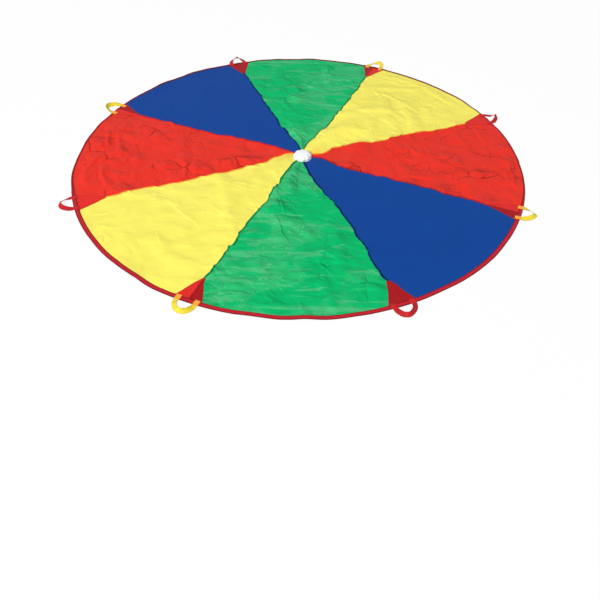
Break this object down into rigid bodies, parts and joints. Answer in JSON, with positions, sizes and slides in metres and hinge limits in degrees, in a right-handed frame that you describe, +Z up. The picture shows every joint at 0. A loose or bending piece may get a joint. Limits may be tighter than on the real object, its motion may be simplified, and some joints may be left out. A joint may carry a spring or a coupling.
{
  "type": "play parachute",
  "caption": "Round play parachute of coloured cloth gores with felled seams, a taped rim, a puckered centre cap and webbing hand loops; it folds in half and its loops swing.",
  "frame": {"origin": "on the floor under the centre of the open canopy", "axes": "+Z up; +X through the middle of a red gore, along the fold line; +Y through the middle of a green gore, away from the viewer"},
  "size_m": [2.4384, 2.4384, 0.0311],
  "materials": {
    "cloth_red": "shiny taffeta",
    "cloth_yellow": "shiny taffeta",
    "cloth_green": "shiny taffeta",
    "cloth_blue": "shiny taffeta",
    "tape_red": "shiny taffeta",
    "patch_red": "shiny taffeta",
    "webbing_red": "woven, matt",
    "webbing_yellow": "woven, matt",
    "cap_white": "shiny taffeta"
  },
  "bodies": {
    "far_half": {"gore_yellow_far_right": "cloth_yellow", "gore_green_far": "cloth_green", "gore_blue_far_left": "cloth_blue", "gore_red_right_far_part": "cloth_red", "gore_red_left_far_part": "cloth_red", "rim_tape_far": "tape_red", "centre_cap": "cap_white", "centre_patch_underneath": "cap_white", "handle_1_corner_patch": "patch_red", "handle_1_sewn_end_left": "webbing_red", "handle_1_sewn_end_right": "webbing_red", "handle_2_corner_patch": "patch_red", "handle_2_sewn_end_left": "webbing_yellow", "handle_2_sewn_end_right": "webbing_yellow", "handle_3_corner_patch": "patch_red", "handle_3_sewn_end_left": "webbing_red", "handle_3_sewn_end_right": "webbing_red", "handle_4_corner_patch": "patch_red", "handle_4_sewn_end_left": "webbing_yellow", "handle_4_sewn_end_right": "webbing_yellow"},
    "near_half": {"gore_yellow_near_left": "cloth_yellow", "gore_green_near": "cloth_green", "gore_blue_near_right": "cloth_blue", "gore_red_right_near_part": "cloth_red", "gore_red_left_near_part": "cloth_red", "rim_tape_near": "tape_red", "handle_5_corner_patch": "patch_red", "handle_5_sewn_end_left": "webbing_red", "handle_5_sewn_end_right": "webbing_red", "handle_6_corner_patch": "patch_red", "handle_6_sewn_end_left": "webbing_yellow", "handle_6_sewn_end_right": "webbing_yellow", "handle_7_corner_patch": "patch_red", "handle_7_sewn_end_left": "webbing_red", "handle_7_sewn_end_right": "webbing_red", "handle_8_corner_patch": "patch_red", "handle_8_sewn_end_left": "webbing_yellow", "handle_8_sewn_end_right": "webbing_yellow"},
    "handle_1_loop": {"handle_1_loop": "webbing_red"},
    "handle_2_loop": {"handle_2_loop": "webbing_yellow"},
    "handle_3_loop": {"handle_3_loop": "webbing_red"},
    "handle_4_loop": {"handle_4_loop": "webbing_yellow"},
    "handle_5_loop": {"handle_5_loop": "webbing_red"},
    "handle_6_loop": {"handle_6_loop": "webbing_yellow"},
    "handle_7_loop": {"handle_7_loop": "webbing_red"},
    "handle_8_loop": {"handle_8_loop": "webbing_yellow"}
  },
  "joints": [
    {"name": "half_fold", "type": "hinge", "parent": "far_half", "child": "near_half", "pos_m": [0, 0, 0.0031], "axis": [-1, 0, 0], "range_deg": [0, 165]},
    {"name": "handle_1_swing", "type": "hinge", "parent": "far_half", "child": "handle_1_loop", "pos_m": [1.12696, 0.4668, 0.00475], "axis": [0.3827, -0.9239, 0], "range_deg": [-90, 160]},
    {"name": "handle_2_swing", "type": "hinge", "parent": "far_half", "child": "handle_2_loop", "pos_m": [0.4668, 1.12696, 0.00475], "axis": [0.9239, -0.3827, 0], "range_deg": [-90, 160]},
    {"name": "handle_3_swing", "type": "hinge", "parent": "far_half", "child": "handle_3_loop", "pos_m": [-0.4668, 1.12696, 0.00475], "axis": [0.9239, 0.3827, 0], "range_deg": [-90, 160]},
    {"name": "handle_4_swing", "type": "hinge", "parent": "far_half", "child": "handle_4_loop", "pos_m": [-1.12696, 0.4668, 0.00475], "axis": [0.3827, 0.9239, 0], "range_deg": [-90, 160]},
    {"name": "handle_5_swing", "type": "hinge", "parent": "near_half", "child": "handle_5_loop", "pos_m": [-1.12696, -0.4668, 0.00475], "axis": [-0.3827, 0.9239, 0], "range_deg": [-90, 160]},
    {"name": "handle_6_swing", "type": "hinge", "parent": "near_half", "child": "handle_6_loop", "pos_m": [-0.4668, -1.12696, 0.00475], "axis": [-0.9239, 0.3827, 0], "range_deg": [-90, 160]},
    {"name": "handle_7_swing", "type": "hinge", "parent": "near_half", "child": "handle_7_loop", "pos_m": [0.4668, -1.12696, 0.00475], "axis": [-0.9239, -0.3827, 0], "range_deg": [-90, 160]},
    {"name": "handle_8_swing", "type": "hinge", "parent": "near_half", "child": "handle_8_loop", "pos_m": [1.12696, -0.4668, 0.00475], "axis": [-0.3827, -0.9239, 0], "range_deg": [-90, 160]}
  ]
}
